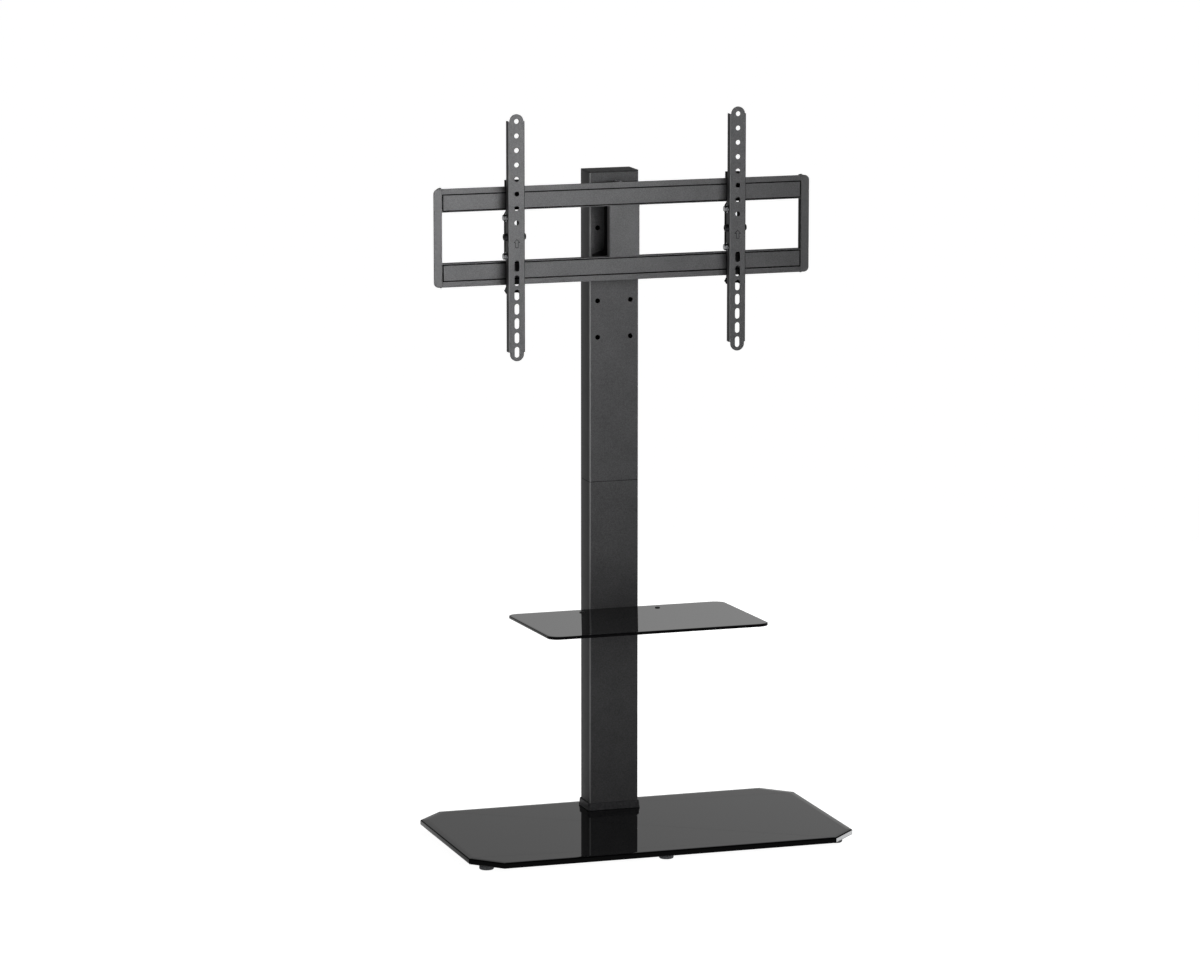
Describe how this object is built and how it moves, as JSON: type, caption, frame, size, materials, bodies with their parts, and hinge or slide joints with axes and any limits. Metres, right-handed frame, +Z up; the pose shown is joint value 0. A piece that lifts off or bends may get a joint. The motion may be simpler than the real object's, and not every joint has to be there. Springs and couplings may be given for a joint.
{
  "type": "television floor stand with mount",
  "caption": "Floor stand for a flat television: cut-corner glass base, slim column, glass shelf, and a swivelling rail frame with sliding, tilting slotted arms.",
  "frame": {"origin": "on the floor at the centre of the base glass", "axes": "+Z up along the column, front (screen side) faces -Y, +X to the viewer's right"},
  "size_m": [0.7, 0.4, 1.2737],
  "materials": {
    "powder_coat": "fine textured black powder coat",
    "rail_coat": "fine textured black powder coat",
    "black_plastic": "matt black moulded",
    "black_glass": "polished black toughened glass",
    "smoked_glass": "polished dark toughened glass",
    "zinc": "bright zinc plated",
    "black_steel": "black oxide",
    "grey_rubber": "matt grey rubber",
    "black_rubber": "matt black rubber",
    "nylon": "natural nylon"
  },
  "bodies": {
    "stand": {"base_glass": "black_glass", "base_plate": "powder_coat", "base_gasket": "black_rubber", "base_bolt_1": "black_steel", "base_bolt_2": "black_steel", "base_bolt_3": "black_steel", "base_bolt_4": "black_steel", "foot_front_left": "grey_rubber", "foot_front_middle": "grey_rubber", "foot_front_right": "grey_rubber", "foot_rear_left": "grey_rubber", "foot_rear_middle": "grey_rubber", "foot_rear_right": "grey_rubber", "base_collar": "black_plastic", "lower_column": "powder_coat", "upper_column": "powder_coat", "column_splice": "black_steel", "splice_screw_lower": "black_steel", "splice_screw_upper": "black_steel", "top_cap": "black_plastic", "shelf_bracket": "powder_coat", "shelf_glass": "smoked_glass", "shelf_screw_left": "black_steel", "shelf_screw_right": "black_steel", "shelf_bracket_screw_left": "black_steel", "shelf_bracket_screw_right": "black_steel", "column_bracket": "powder_coat", "bracket_bolt_1": "black_steel", "bracket_bolt_2": "black_steel", "bracket_bolt_3": "black_steel", "bracket_bolt_4": "black_steel", "swivel_bolt_upper": "zinc", "swivel_washer_upper": "nylon", "swivel_nut_upper": "zinc", "swivel_bolt_lower": "zinc", "swivel_washer_lower": "nylon", "swivel_nut_lower": "zinc"},
    "swing_frame": {"swivel_head": "powder_coat", "upper_rail": "rail_coat", "lower_rail": "rail_coat", "end_cap_left": "black_plastic", "end_cap_right": "black_plastic", "rail_screw_1": "black_steel", "rail_screw_2": "black_steel", "rail_screw_3": "black_steel", "rail_screw_4": "black_steel"},
    "left_hanger": {"hanger_left": "powder_coat", "safety_screw_left": "zinc"},
    "left_arm": {"arm_left": "rail_coat", "tilt_bolt_left": "black_steel", "tilt_nut_left": "black_steel", "lock_bolt_left_lower": "zinc", "lock_bolt_left_upper": "zinc"},
    "right_hanger": {"hanger_right": "powder_coat", "safety_screw_right": "zinc"},
    "right_arm": {"arm_right": "rail_coat", "tilt_bolt_right": "black_steel", "tilt_nut_right": "black_steel", "lock_bolt_right_lower": "zinc", "lock_bolt_right_upper": "zinc"}
  },
  "joints": [
    {"name": "swivel", "type": "hinge", "parent": "stand", "child": "swing_frame", "pos_m": [0, 0.106, 1.0612], "axis": [0, 0, 1], "range_deg": [-35, 35]},
    {"name": "left_slide", "type": "slide", "parent": "swing_frame", "child": "left_hanger", "axis": [1, 0, 0], "range_m": [-0.1, 0.15]},
    {"name": "left_tilt", "type": "hinge", "parent": "left_hanger", "child": "left_arm", "pos_m": [-0.2012, 0.054, 1.0612], "axis": [1, 0, 0], "range_deg": [-5, 5]},
    {"name": "right_slide", "type": "slide", "parent": "swing_frame", "child": "right_hanger", "axis": [1, 0, 0], "range_m": [-0.15, 0.1]},
    {"name": "right_tilt", "type": "hinge", "parent": "right_hanger", "child": "right_arm", "pos_m": [0.2012, 0.054, 1.0612], "axis": [1, 0, 0], "range_deg": [-5, 5]}
  ]
}
